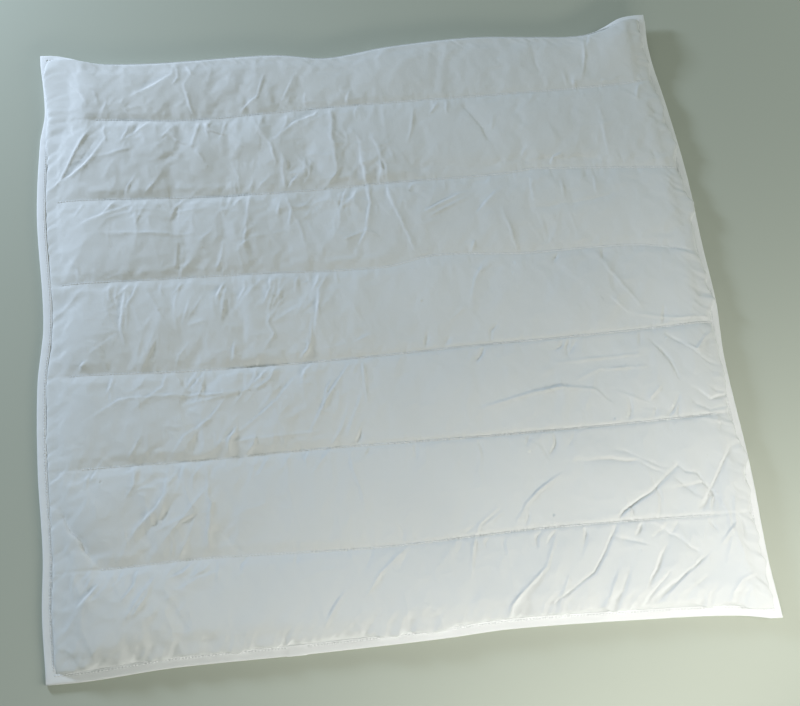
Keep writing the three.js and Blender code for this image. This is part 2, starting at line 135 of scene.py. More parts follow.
creases = [  # width, rise (a pressed-in crease is negative), then the points that it runs through
    # far left corner
    (2.4, 2.6, (68, 684), (55, 667), (42, 643), (30, 619), (24, 608), (10, 592)),
    (2.6, 2.2, (83, 664), (70, 645), (62, 633), (50, 620), (38, 612), (25, 606)),
    (5.0, -1.4, (74, 668), (60, 646), (46, 626), (34, 612)),
    (3.0, 1.6, (62, 633), (75, 635), (95, 638), (112, 642)),
    (8.0, -0.9, (80, 627), (130, 624), (190, 626)),
    (2.0, 2.4, (186, 640), (190, 655), (198, 676)),
    (2.2, 1.6, (192, 632), (200, 617)),
    (1.8, 2.0, (180, 728), (184, 710), (190, 683)),
    (2.2, 1.6, (171, 765), (173, 755), (173, 742), (166, 733)),
    (2.5, 1.6, (183, 760), (190, 748)),
    (4.5, 1.6, (105, 716), (120, 722), (140, 733), (155, 742), (163, 748)),
    (2.2, 1.2, (30, 757), (45, 738), (58, 712)),
    (2.0, 1.0, (65, 735), (72, 710)),
    (2.2, 1.2, (74, 695), (82, 712)),
    (2.2, 0.7, (115, 680), (112, 668)),
    (2.2, 0.7, (105, 676), (102, 655)),
    (2.4, 1.2, (103, 707), (113, 690)),
    (2.4, 1.2, (158, 665), (168, 650), (187, 637)),
    # near left corner
    (3.4, -2.6, (62, 113), (57, 122), (47, 137), (40, 150), (30, 165), (20, 183), (14, 193)),
    (2.8, 2.0, (180, 125), (180, 142), (183, 165), (186, 178), (181, 187), (183, 214)),
    (3.5, -1.2, (153, 158), (160, 162), (175, 171)),
    (9.0, -1.8, (95, 130), (110, 150), (130, 165), (150, 190)),
    (5.0, 1.6, (88, 135), (104, 158), (124, 176), (138, 196)),
    (5.0, 1.6, (125, 132), (140, 150), (155, 165), (180, 195)),
    (4.0, -1.2, (188, 147), (205, 133), (219, 117)),
    (3.0, 1.4, (118, 99), (110, 80), (95, 60)),
    (4.0, 1.2, (140, 82), (165, 95), (185, 100)),
    (2.5, 1.0, (60, 98), (50, 88), (43, 78)),
    (2.0, 1.0, (42, 104), (50, 112)),
    (3.0, 0.8, (12, 45), (20, 35), (40, 18), (55, 10)),
    (2.5, -1.2, (45, 22), (75, 20), (95, 12)),
    (2.2, -1.0, (125, 10), (135, 14), (150, 20)),
    (2.0, -0.8, (160, 15), (180, 9)),
    (2.0, -0.8, (168, 28), (180, 34)),
    # far right corner
    (1.8, 1.2, (671, 717), (672, 697)),
    (1.8, 1.0, (682, 706), (681, 695)),
    (2.4, 1.6, (705, 765), (702, 740), (697, 720), (692, 705)),
    (2.0, 1.0, (715, 772), (708, 755)),
    (4.0, -1.2, (634, 760), (635, 740), (640, 720)),
    (3.0, 1.0, (708, 660), (708, 590)),
    (2.0, 1.0, (717, 696), (720, 702), (727, 703)),
    (2.0, 0.8, (607, 690), (600, 682)),
    (1.8, 0.8, (692, 690), (690, 678)),
    (2.5, 1.2, (745, 687), (760, 672), (765, 690), (778, 698)),
    # near right corner
    (
        1.9, -2.1, (717, 174), (700, 161), (680, 145), (665, 138), (645, 126), (638, 118),
        (630, 104), (622, 92), (615, 80), (600, 60), (552, 31),
    ),
    (2.4, -1.8, (717, 174), (725, 167), (737, 163), (742, 152), (748, 146)),
    (3.4, -1.5, (600, 190), (642, 188), (670, 183), (696, 168)),
    (3.0, -1.2, (649, 200), (671, 190), (702, 172)),
    (2.4, -1.2, (712, 149), (741, 151), (761, 132)),
    (2.4, -1.4, (751, 249), (768, 237), (790, 243)),
    (2.4, -1.2, (755, 267), (772, 252), (798, 258)),
    (2.4, 1.2, (752, 231), (776, 224), (789, 217)),
    (2.0, 1.0, (716, 273), (698, 256)),
    (2.0, 1.3, (486, 12), (504, 33), (525, 51)),
    (2.0, 1.0, (480, 121), (495, 131), (508, 139)),
    (2.0, -1.2, (644, 10), (664, 26), (691, 42), (731, 68)),
    (4.0, 1.4, (590, 12), (612, 30), (626, 58)),
    (5.0, -1.4, (604, 14), (628, 36), (640, 60)),
    (4.0, 1.2, (540, 14), (556, 30), (570, 58)),
    (3.0, -1.4, (628, 99), (655, 90), (668, 85)),
    (3.4, -1.6, (668, 110), (678, 107), (690, 100), (700, 92), (722, 72)),
    (1.4, -0.4, (661, 112), (658, 102)),
    (1.6, -0.6, (707, 112), (701, 102)),
    (2.2, -1.8, (688, 84), (680, 74), (672, 60), (661, 45), (658, 38)),
    (2.0, -1.6, (642, 12), (650, 22), (665, 35), (685, 53)),
    (1.6, -1.4, (647, 14), (680, 32), (700, 47), (720, 60), (733, 70)),
    (2.2, -1.0, (705, 32), (728, 45)),
    (1.6, -1.4, (785, 195), (775, 180), (762, 160), (750, 143), (731, 119)),
    (2.0, 1.3, (748, 78), (758, 88), (770, 100)),
    (2.2, 1.5, (735, 8), (745, 16), (755, 27), (765, 37), (780, 42)),
    (3.4, 1.2, (752, 60), (762, 84), (764, 112), (756, 140)),
    (2.0, 1.0, (700, 44), (712, 56), (718, 64)),
    (2.6, 1.2, (772, 60), (768, 96), (774, 130)),
    (1.8, 1.0, (752, 6), (760, 16), (772, 22)),
    (1.8, -1.0, (710, 8), (728, 12)),
    (1.8, -1.0, (650, 15), (670, 16)),
    (2.0, -1.2, (672, 11), (690, 18), (725, 23)),
    (2.5, -1.4, (780, 42), (787, 30), (790, 12)),
    (2.2, -1.2, (740, 108), (748, 92)),
    (3.0, -1.0, (712, 160), (735, 132)),
    # far middle
    (2.4, 1.6, (283, 742), (269, 703)),
    (2.0, 1.6, (320, 734), (302, 700)),
    (3.5, 2.2, (363, 687), (361, 637), (363, 592)),
    (3.5, 2.4, (394, 626), (397, 587), (399, 542), (391, 506)),
    (2.2, 1.4, (391, 506), (363, 495)),
    (2.2, 1.4, (391, 506), (380, 487)),
    (2.2, 1.4, (391, 506), (405, 495)),
    (3.0, 1.8, (411, 637), (424, 598), (424, 553), (433, 520), (447, 476)),
    (3.0, 1.4, (296, 620), (297, 570)),
    (3.5, 2.0, (256, 581), (247, 531), (241, 492)),
    (2.6, 1.6, (269, 659), (283, 637), (288, 609)),
    (2.4, 1.6, (347, 680), (313, 664), (286, 642)),
    (2.6, 1.8, (302, 542), (313, 509), (316, 487)),
    (2.2, 1.2, (291, 559), (283, 531)),
    (2.8, 1.4, (469, 676), (463, 648), (455, 626)),
    (4.0, -1.4, (533, 676), (552, 642), (558, 620)),
    (2.0, 1.0, (569, 659), (563, 637)),
    (1.6, 0.8, (602, 606), (597, 595)),
    (10.0, -1.2, (480, 588), (590, 590), (700, 588)),
    (2.2, 1.4, (513, 548), (466, 526)),
    (2.2, 1.2, (518, 541), (471, 519)),
    (2.4, 1.2, (558, 548), (527, 517)),
    (2.6, 1.6, (561, 523), (569, 487), (573, 464)),
    (4.0, -1.2, (583, 520), (647, 523), (691, 531), (713, 537)),
    (2.2, 0.9, (602, 531), (603, 563)),
    (2.2, 0.9, (641, 531), (642, 560)),
    (2.2, 0.9, (683, 535), (684, 565)),
    (3.0, 1.6, (70, 527), (180, 516)),
    (3.0, 1.2, (47, 542), (108, 564)),
    (3.0, 1.6, (186, 503), (194, 511), (202, 517)),
    (3.0, 1.4, (238, 495), (247, 503)),
    # middle channel
    (2.4, 1.8, (99, 451), (94, 420), (91, 395), (97, 378)),
    (2.0, 1.2, (104, 448), (100, 422), (98, 398)),
    (2.2, 1.2, (83, 389), (55, 370)),
    (2.6, 1.6, (219, 448), (211, 420), (209, 398)),
    (2.0, 1.0, (174, 431), (163, 398)),
    (3.0, 2.0, (288, 442), (274, 420), (263, 392), (269, 376), (252, 353)),
    (2.4, 1.6, (336, 448), (327, 431), (322, 403), (316, 376)),
    (2.0, 1.0, (363, 409), (372, 387)),
    (2.0, 1.0, (380, 367), (363, 359)),
    (2.4, 1.0, (500, 395), (475, 375)),
    (2.4, 1.2, (530, 451), (516, 431), (508, 409)),
    (3.0, 1.6, (669, 453), (686, 420), (711, 378)),
    (2.2, 1.2, (677, 389), (694, 371)),
    (3.0, 1.6, (752, 459), (797, 437)),
    # third channel
    (2.0, 1.4, (105, 298), (124, 312), (202, 306), (236, 312)),
    (2.0, 1.4, (302, 253), (324, 292), (352, 331)),
    (1.4, 1.4, (369, 331), (369, 281)),
    (1.8, 1.0, (344, 248), (363, 292)),
    (3.0, 1.2, (191, 248), (313, 251)),
    (2.4, 1.4, (505, 264), (569, 278), (597, 281), (636, 276), (655, 256)),
    (2.2, 1.0, (597, 312), (655, 314), (697, 314)),
    (2.0, 1.0, (663, 270), (697, 253)),
    (2.0, 1.0, (619, 289), (647, 300), (702, 298)),
    (1.8, 0.9, (143, 236), (158, 259), (189, 278), (210, 304)),
    (1.6, 0.7, (153, 237), (175, 267), (189, 276)),
    (1.8, 0.9, (195, 246), (226, 263), (265, 292), (286, 318)),
    (1.6, 0.6, (241, 279), (256, 295), (279, 319)),
    (2.0, 0.9, (60, 293), (88, 310), (144, 310)),
    (1.8, 1.2, (162, 298), (191, 301), (255, 313)),
    (1.6, 1.2, (319, 285), (325, 304), (331, 314)),
    (2.0, 1.2, (300, 202), (321, 229), (337, 253), (349, 282)),
    (2.0, 1.4, (54, 215), (61, 231), (68, 240)),
    (2.6, 1.4, (706, 367), (743, 358), (793, 357)),
    (2.2, -1.4, (734, 338), (758, 319), (785, 293)),
    (2.4, -1.4, (715, 328), (733, 303), (739, 280)),
    (2.0, 1.2, (748, 325), (768, 315), (789, 340)),
    (2.0, 1.0, (508, 447), (524, 440), (536, 448)),
    # near channels
    (2.0, 1.4, (32, 70), (48, 86), (59, 97)),
    (3.5, 1.4, (84, 52), (104, 81), (118, 98)),
    (2.4, -1.4, (123, 9), (154, 14), (175, 14)),
    (2.0, -1.2, (250, 27), (263, 17), (275, 10)),
    (2.0, 1.2, (299, 31), (312, 52), (322, 64)),
    (1.8, 1.4, (344, 226), (344, 203), (352, 181), (353, 164)),
    (2.0, 1.0, (544, 223), (561, 209), (569, 192)),
    (2.0, 1.3, (580, 176), (552, 159), (536, 145), (522, 126)),
    (2.2, 1.4, (502, 142), (480, 126), (472, 109), (463, 70)),
    (5.0, 1.0, (202, 159), (247, 173)),
    (1.8, 1.4, (563, 103), (547, 70), (513, 42), (488, 14)),
    (2.0, 1.2, (469, 31), (488, 14)),
    (2.2, 1.2, (397, 109), (363, 81), (347, 59)),
]
seenFrom = dict(x=269.4, y=-243.6, height=1405.6)  # creases are placed as seen from this point
coverHeight = 13.0  # and lie at this height
crumpleZones = [  # x, y, reach, strength
    (110, 640, 190, 0.5), (270, 600, 200, 0.8), (390, 560, 150, 0.6), (120, 420, 190, 0.8),
    (280, 400, 160, 0.7), (200, 280, 170, 0.9), (330, 290, 110, 0.5), (110, 170, 150, 0.8),
    (110, 40, 120, 0.7), (640, 540, 160, 0.25), (700, 280, 110, 0.5), (700, 100, 130, 0.7),
    (560, 230, 140, 0.3), (400, 60, 200, 0.25), (550, 60, 120, 0.3),
]


def ease(t):
    t = np.clip(t, 0, 1)
    return t * t * (3 - 2 * t)


def along(table, key, value, at):
    keys = np.array(table[key], float)
    values = np.array(table[value], float)
    b = np.clip(np.searchsorted(keys, at), 1, len(keys) - 1)
    a = b - 1
    before = np.maximum(b - 2, 0)
    after = np.minimum(b + 1, len(keys) - 1)
    span = keys[b] - keys[a]
    slopeIn = (values[b] - values[before]) / (keys[b] - keys[before]) * span
    slopeOut = (values[after] - values[a]) / (keys[after] - keys[a]) * span
    t = np.clip((at - keys[a]) / span, 0, 1)
    start = values[a] * (1 - 3 * t**2 + 2 * t**3) + slopeIn * t * (1 - t) ** 2
    return start + values[b] * (3 * t**2 - 2 * t**3) - slopeOut * t**2 * (1 - t)


def lift(x, y):
    total = np.zeros(np.broadcast(x, y).shape)
    for cx, cy, reach, rise in liftedCorners:
        total += rise * ease(1 - np.hypot(x - cx, y - cy) / reach)
    return total


def laid(x, y):
    x, y = np.broadcast_arrays(np.asarray(x, float), np.asarray(y, float))
    lines = [along(nearEdge, "x", "y", x) + inner]
    lines += [along(seam, "x", "y", x) for seam in seams]
    lines += [along(farEdge, "x", "y", x)]
    cuts = [inner] + [pitch * (k + 1) for k in range(channels - 1)] + [outer]
    fromY = np.zeros(x.shape)
    for k in range(channels):
        share = np.clip((y - cuts[k]) / (cuts[k + 1] - cuts[k]), 0, 1)
        fromY = np.where(y >= cuts[k], lines[k] + (lines[k + 1] - lines[k]) * share, fromY)
    left = along(leftEdge, "y", "x", y) + inner
    right = along(rightEdge, "y", "x", y) - inner
    return left + (right - left) * (x - inner) / (outer - inner), fromY


def turnAt(x, y):
    turn = np.where(y >= outer, along(farEdge, "x", "turn", x), 0.0)
    level = ease(1.2 - np.hypot(x, y) / tape["levelReach"])
    return np.radians(np.maximum(turn, tape["slope"] * (1 - tape["levelled"] * level)))


def hemHeight(x, y):
    turn = turnAt(x, y)
    return inner * np.sin(turn) + halfTape * np.cos(turn) + lift(x, y)


def fromRim(x, y):
    return np.minimum(np.minimum(x - inner, outer - x), np.minimum(y - inner, outer - y))


def fullness(x, y):
    result = 1.0
    sides = (x - inner, outer - x, y - inner, outer - y)
    for distance, reach, power in zip(sides, body["edgeRound"], body["edgePower"]):
        result = result * (1 - (1 - np.clip(distance / reach, 0, 1)) ** 2) ** power
    return result


def sewn(x, y, reach, power):
    line = np.clip(np.round(y / pitch), 1, channels - 1).astype(int)
    start = np.array([seam["span"][0] for seam in seams])[line - 1]
    stop = np.array([seam["span"][1] for seam in seams])[line - 1]
    away = np.clip(np.abs(y - line * pitch) / reach, 0, 1)
    past = np.maximum(start - x, x - stop)
    return (1 - away) ** power * (0.2 + 0.8 * ease((18 - past) / 24))


def perlin(x, y, scale, seed):
    rng = np.random.default_rng(seed)
    gx, gy = x / scale + 8, y / scale + 8
    ix, iy = np.floor(gx).astype(int), np.floor(gy).astype(int)
    size = int(max(ix.max(), iy.max())) + 3
    angle = rng.random((size, size)) * 2 * math.pi
    fx, fy = gx - ix, gy - iy

    def corner(i, j):
        a = angle[ix + i, iy + j]
        return np.cos(a) * (fx - i) + np.sin(a) * (fy - j)

    u = fx**3 * (fx * (fx * 6 - 15) + 10)
    v = fy**3 * (fy * (fy * 6 - 15) + 10)
    near = corner(0, 0) * (1 - u) + corner(1, 0) * u
    far = corner(0, 1) * (1 - u) + corner(1, 1) * u
    return near * (1 - v) + far * v


def crumple(x, y, scale, seed):
    wx = x + scale * 0.7 * perlin(x, y, scale * 1.9, seed + 1)
    wy = y + scale * 0.7 * perlin(x, y, scale * 1.9, seed + 2)
    return 1 - 2.2 * np.abs(perlin(wx, wy, scale, seed))


# Crisp cotton lies in flat panes that meet in creases: heights at the corners of a warped
# grid, each square of it split along one diagonal or the other, with a crest where they meet.
def panes(x, y, scale, seed, crest):
    rng = np.random.default_rng(seed)
    gx = (x + scale * 0.7 * perlin(x, y, scale * 1.7, seed + 1)) / scale + 8
    gy = (y + scale * 0.7 * perlin(x, y, scale * 1.7, seed + 2)) / scale * 0.7 + 8
    ix, iy = np.floor(gx).astype(int), np.floor(gy).astype(int)
    size = int(max(ix.max(), iy.max())) + 3
    heights = rng.uniform(-1, 1, (size, size))
    other = rng.random((size, size))[ix, iy] < 0.5
    fx, fy = gx - ix, gy - iy
    fx = np.where(other, 1 - fx, fx)
    a, b = np.where(other, ix + 1, ix), np.where(other, ix, ix + 1)
    h00, h10 = heights[a, iy], heights[b, iy]
    h01, h11 = heights[a, iy + 1], heights[b, iy + 1]
    low = h00 + (h10 - h00) * fx + (h01 - h00) * fy
    high = h11 + (h01 - h11) * (1 - fx) + (h10 - h11) * (1 - fy)
    border = np.minimum(np.minimum(fx, 1 - fx), np.minimum(fy, 1 - fy))
    border = np.minimum(border, np.abs(fx + fy - 1) * 0.7) * scale
    comes = np.clip(3 * perlin(x, y, scale * 1.2, seed + 3), 0, 1)
    return np.where(fx + fy < 1, low, high) + crest * comes * np.exp(-border / 1.7)


def ontoCover(x, y):
    share = coverHeight / seenFrom["height"]
    return x + (seenFrom["x"] - x) * share, y + (seenFrom["y"] - y) * share


def nearLine(px, py, path):
    best = np.full(px.shape, 1e9)
    place, hand = np.zeros(px.shape), np.ones(px.shape)
    lengths = [math.dist(a, b) for a, b in zip(path, path[1:])]
    gone = 0.0
    for (ax, ay), (bx, by), length in zip(path, path[1:], lengths):
        t = np.clip(((px - ax) * (bx - ax) + (py - ay) * (by - ay)) / length**2, 0, 1)
        d = np.hypot(px - ax - t * (bx - ax), py - ay - t * (by - ay))
        nearer = d < best
        place = np.where(nearer, gone + t * length, place)
        hand = np.where(nearer, np.sign((bx - ax) * (py - ay) - (by - ay) * (px - ax)), hand)
        best = np.minimum(best, d)
        gone += length
    return best, place / gone, hand


gathers = dict(
    seed=5,
    spacing=15.0,
    length=(20.0, 46.0),
    width=(1.5, 2.3),
    rise=(0.7, 1.6),
    share=0.75,  # how many of the places along a seam have one
    nearSide=0.68,  # share of them on the near side of their seam
)


def onward(point, angle, far):
    return (point[0] + far * math.cos(angle), point[1] + far * math.sin(angle))


# Short creases that the stitching gathers, most of them running from a sewn line toward the
# near left, and pressed in rather than raised on the near right of the duvet.
def gatheredCreases():
    rng = np.random.default_rng(gathers["seed"])
    found = []
    for number in range(1, channels):
        for x in np.arange(32.0, 770.0, gathers["spacing"]):
            x += rng.uniform(-8, 8)
            y = float(along(seams[number - 1], "x", "y", np.array(x)))
            crumpled = float(spotSum(np.array(x), np.array(y), crumpleZones))
            length = rng.uniform(*gathers["length"]) * (0.55 + 0.6 * min(crumpled, 1))
            nearSide = rng.random() < gathers["nearSide"]
            lean = math.radians(rng.normal(248 if nearSide else 66, 17))
            bend = lean + math.radians(rng.normal(0, 22))
            rise = rng.uniform(*gathers["rise"]) * (-1 if x - y > 90 else 1)
            width = rng.uniform(*gathers["width"])
            if rng.random() > gathers["share"] * (0.35 + crumpled):
                continue
            start = onward((x, y), lean, 3)
            middle = onward(start, lean, 0.5 * length)
            end = onward(middle, bend, 0.5 * length)
            found.append((width, rise, start, middle, end))
    return found


creaseLook = dict(
    reach=9,  # how far to each side it changes the cloth, in widths
    wander=0.8,  # how much its line wobbles, in widths
    wanderSpacing=19.0,
    unevenSpacing=30.0,
    steep=0.8,  # width of the steep flank, then of the gentle one
    gentle=2.2,
    gentleNearRight=1.3,
    nearEnd=370,  # y where the near half ends
    rightStart=480,  # x where its right part starts
    rise=1.1,  # how much a crease's own rise is raised, by place
    riseNear=1.35,
    riseNearRight=1.75,
)


# A crease is a thin crest that narrows toward its end. The flank toward the far left is the
# steeper one, as the folds all lean the same way, and the panes beside it differ in height.
def creaseRise(px, py):
    look = creaseLook
    total = np.zeros(px.shape)
    every = [(width, rise, *[ontoCover(*p) for p in points]) for width, rise, *points in creases]
    every += gatheredCreases()
    for number, (width, rise, *path) in enumerate(every):
        xs, ys = [p[0] for p in path], [p[1] for p in path]
        reach = look["reach"] * width
        inside = (px > min(xs) - reach) & (px < max(xs) + reach)
        inside &= (py > min(ys) - reach) & (py < max(ys) + reach)
        qx, qy = px[inside], py[inside]
        wobble = look["wander"] * width * perlin(qx, qy, look["wanderSpacing"], 300 + number)
        away, place, hand = nearLine(qx + wobble, qy + wobble, path)
        taper = np.sqrt(np.clip(np.sin(math.pi * (0.04 + 0.92 * place)), 0, 1))
        taper = taper * (0.8 + 0.6 * perlin(qx, qy, look["unevenSpacing"], 500 + number))
        farLeft = 1 if (ys[0] - ys[-1]) * -0.8 + (xs[-1] - xs[0]) * 0.6 > 0 else -1
        nearHalf = ys[0] < look["nearEnd"]
        nearRight = nearHalf and xs[0] > look["rightStart"]
        gentle = look["gentleNearRight"] if nearRight else look["gentle"]
        flank = np.where(hand * farLeft < 0, gentle, look["steep"])
        crest = width * (0.85 - 0.5 * place) * flank
        side = hand * (1 if number % 2 else -1) * np.tanh(away / crest)
        shape = np.exp(-((away / crest) ** 1.1)) + 0.25 * side * np.exp(-away / (3 * width))
        nearRise = look["riseNearRight"] if nearRight else look["riseNear"]
        high = rise * (nearRise if nearHalf else look["rise"])
        total[inside] += high * taper * shape * ease(2.5 - 2.5 * away / reach)
    print("creases laid,", len(every))
    return total


def spotSum(px, py, spots):
    total = np.zeros(px.shape)
    for x, y, reach, amount in spots:
        total += amount * ease(1 - np.hypot(px - x, py - y) / reach)
    return total


crispPart = dict(
    x=200,  # it begins here and is full after this much more
    overX=350,
    y=300,  # further off it fades, over this much, by this share
    overY=110,
    fades=0.88,
)


# The sewn lines are soft on the far left and drawn in crisply on the near right.
def crispSeam(px, py):
    across = ease((px - crispPart["x"]) / crispPart["overX"])
    return across * (1 - crispPart["fades"] * ease((py - crispPart["y"]) / crispPart["overY"]))


puckering = dict(
    ribs=0.7,  # height of the ribs beside a sewn line
    ribReach=8.0,
    rim=1.5,  # height of those along the rim
    rimNearRight=1.2,  # and what is added on the near right
    rimReach=12.0,
)


def puckers(x, y):
    line = np.clip(np.round(y / pitch), 1, channels - 1)
    away = np.abs(y - line * pitch)
    ribs = crumple(x, line * 57.0 + y * 0.22, 9.0, 41) * np.exp(-away / puckering["ribReach"])
    ribs = ribs * ease(away / 3.0)
    nearRim = fromRim(x, y)
    ends = np.where(np.minimum(x - inner, outer - x) < np.minimum(y - inner, outer - y), y, x)
    slanting = crumple(ends - nearRim, nearRim * 0.3, 12.0, 47)
    strength = puckering["rim"] + puckering["rimNearRight"] * ease((x - y) / 400)
    slanting = strength * slanting * np.exp(-nearRim / puckering["rimReach"])
    return puckering["ribs"] * ribs + slanting * ease(nearRim / 4.0)


def baseHeight(x, y):
    px, py = laid(x, y)
    crown = body["crown"] + spotSum(px, py, lumps)
    crisp = crispSeam(px, py)
    valley = body["valley"] * (1 - 0.8 * crisp) * (1 - 0.5 * ease((px - 300) / 200))
    filled = crown - body["sag"] * (1 - 0.6 * crisp) * sewn(x, y, pitch / 2, 2.0)
    filled = filled - valley * ease(sewn(x, y, body["valleyReach"], 1.0))
    filled = filled - body["groove"] * (0.08 + 0.92 * crisp) * sewn(x, y, 3.1, 1.0)
    farHem = hemHeight(x, np.full_like(y, outer)) - lift(x, np.full_like(y, outer))
    nearHem = hemHeight(x, np.full_like(y, inner)) - lift(x, np.full_like(y, inner))
    hem = nearHem + (farHem - nearHem) * ease(1 - (outer - y) / body["edgeRound"][3])
    return hem + (filled - hem) * fullness(x, y) + lift(x, y)


def bottomHeight(x, y):
    inward = outer - y
    hang = np.tan(np.maximum(0.1, np.radians(along(farEdge, "x", "turn", x))))
    clear = hemHeight(x, np.full_like(y, outer)) - 0.4 * inward / hang
    rest = lift(x, y) + body["seamHollow"] * sewn(x, y, 16, 1) * fullness(x, y)
    return np.where(inward > 14, rest, np.maximum(rest, clear))


def makeMesh(name, points, faces, uv=None):
    mesh = bpy.data.meshes.new(name)
    mesh.vertices.add(len(points))
    mesh.vertices.foreach_set("co", ((points + origin) / 1000).ravel().astype(np.float32))
    corners = np.concatenate([part.ravel() for part in faces]).astype(np.int32)
    sizes = np.concatenate([np.full(len(part), part.shape[1]) for part in faces])
    mesh.loops.add(len(corners))
    mesh.loops.foreach_set("vertex_index", corners)
    mesh.polygons.add(len(sizes))
    mesh.polygons.foreach_set("loop_start", (np.cumsum(sizes) - sizes).astype(np.int32))
    mesh.update(calc_edges=True)
    if uv is not None:
        layer = mesh.uv_layers.new(name="cutCloth")
        layer.data.foreach_set("uv", (uv[corners] / 1000).ravel().astype(np.float32))
    mesh.shade_smooth()
    piece = bpy.data.objects.new(name, mesh)
    bpy.context.scene.collection.objects.link(piece)
    return piece


def gridFaces(index, flip=False):
    a, b, c, d = index[:-1, :-1], index[:-1, 1:], index[1:, 1:], index[1:, :-1]
    order = (a, d, c, b) if flip else (a, b, c, d)
    return np.stack([part.ravel() for part in order], axis=1)


# Column and row of every point round a grid's edge, counter-clockwise from above.
def roundEdge(columns, rows):
    across, up = np.arange(columns - 1), np.arange(rows - 1)
    last, top = columns - 1, rows - 1
    column = np.concatenate([across, 0 * up + last, last - across, 0 * up])
    row = np.concatenate([0 * across, up, 0 * across + top, top - up])
    return column, row


# The duvet's edge as stations, each with its way out.
def edgeStations(xs, ys):
    column, row = roundEdge(len(xs), len(ys))
    x, y = xs[column], ys[row]
    turn = turnAt(x, y)
    acrossOut = np.where(x <= inner, -1.0, np.where(x >= outer, 1.0, 0.0))
    alongOut = np.where(y <= inner, -1.0, np.where(y >= outer, 1.0, 0.0))
    px, py = laid(x, y)
    base = np.stack([px, py, hemHeight(x, y)], axis=1)
    out = np.stack([acrossOut * np.cos(turn), alongOut * np.cos(turn), -np.sin(turn)], axis=1)
    normal = np.stack([acrossOut * np.sin(turn), alongOut * np.sin(turn), np.cos(turn)], axis=1)
    return dict(x=x, y=y, base=base, out=out, normal=normal)


def atStation(stations, out, up):
    out, up = np.asarray(out)[..., None], np.asarray(up)[..., None]
    return stations["base"] + stations["out"] * out + stations["normal"] * up


settle = dict(frames=20, growth=0.024, pressure=1.0, stiffness=20.0, bending=0.2, most=4.0)


# The top cover blown up a little over its filling, held along the rim and the sewn lines.
def settleCover(points, held):
    rows, columns = held.shape
    index = np.arange(held.size).reshape(held.shape)
    piece = makeMesh("settling", points.reshape(-1, 3), [gridFaces(index)])
    group = piece.vertex_groups.new(name="held")
    group.add([int(i) for i in np.flatnonzero(held)], 1.0, "REPLACE")
    cloth = piece.modifiers.new("cloth", "CLOTH")
    settings = cloth.settings
    settings.quality = 5
    settings.mass = 0.1
    settings.tension_stiffness = settle["stiffness"]
    settings.compression_stiffness = settle["stiffness"]
    settings.shear_stiffness = settle["stiffness"] / 3
    settings.bending_stiffness = settle["bending"]
    settings.air_damping = 2
    settings.shrink_min = -settle["growth"]
    settings.shrink_max = -settle["growth"]
    settings.vertex_group_mass = "held"
    settings.use_pressure = True
    settings.uniform_pressure_force = settle["pressure"]
    settings.effector_weights.gravity = 0
    cloth.point_cache.frame_end = settle["frames"] + 2
    scene = bpy.context.scene
    for number in range(1, settle["frames"] + 2):
        scene.frame_set(number)
    shaped = piece.evaluated_get(bpy.context.evaluated_depsgraph_get()).data
    result = np.empty(held.size * 3, np.float32)
    shaped.vertices.foreach_get("co", result)
    scene.frame_set(1)
    bpy.data.objects.remove(piece)
    moved = result.reshape(rows, columns, 3) * 1000.0 - origin - points
    far = np.linalg.norm(moved, axis=2, keepdims=True)
    print("settled by", round(float(far.mean()), 2), "mm, at most", round(float(far.max()), 2))
    return moved * settle["most"] * np.tanh(far / settle["most"]) / np.maximum(far, 1e-6)


def doubled(field):
    for axis in (0, 1):
        a = np.moveaxis(field, axis, 0)
        wide = np.concatenate([a[:1], a, a[-1:]])
        result = np.empty((2 * len(a) - 1, *a.shape[1:]))
        result[::2] = a
        result[1::2] = (9 * (wide[1:-2] + wide[2:-1]) - wide[:-3] - wide[3:]) / 16
        field = np.moveaxis(result, 0, axis)
    return field


def bodyLines():
    def span(low, high):
        cells = body["finer"] * round((high - low) / body["cell"])
        return np.linspace(low, high, cells + 1)[:-1]

    cuts = [inner] + [pitch * (k + 1) for k in range(channels - 1)] + [outer]
    ys = np.concatenate([span(a, b) for a, b in zip(cuts, cuts[1:])] + [[outer]])
    xs = np.append(span(inner, outer), outer)
    return xs, ys


rolled = dict(  # x, y, reach, depth: here the filled edge rolls right over the tape
    left=(0, 735, 120, 17.0),
    far=(772, 800, 62, 11.0),
)
paneLayers = [(2.2, 54.0, 11, 0.5), (1.4, 27.0, 17, 0.6)]  # rise, spacing, seed, crest
finePanes = (13.0, 29, 0.8)  # spacing, seed, crest
overhanging = dict(
    waves=[(1.3, 28.0, 71), (0.4, 9.0, 73)],  # rise, spacing, seed of its unevenness
    mean=0.85,
    evenLeft=0.85,  # share of the unevenness that the left side lacks
    atSeam=0.25,  # the right side is drawn in at each sewn line
    between=0.85,
    least=0.1,
    most=1.7,
)


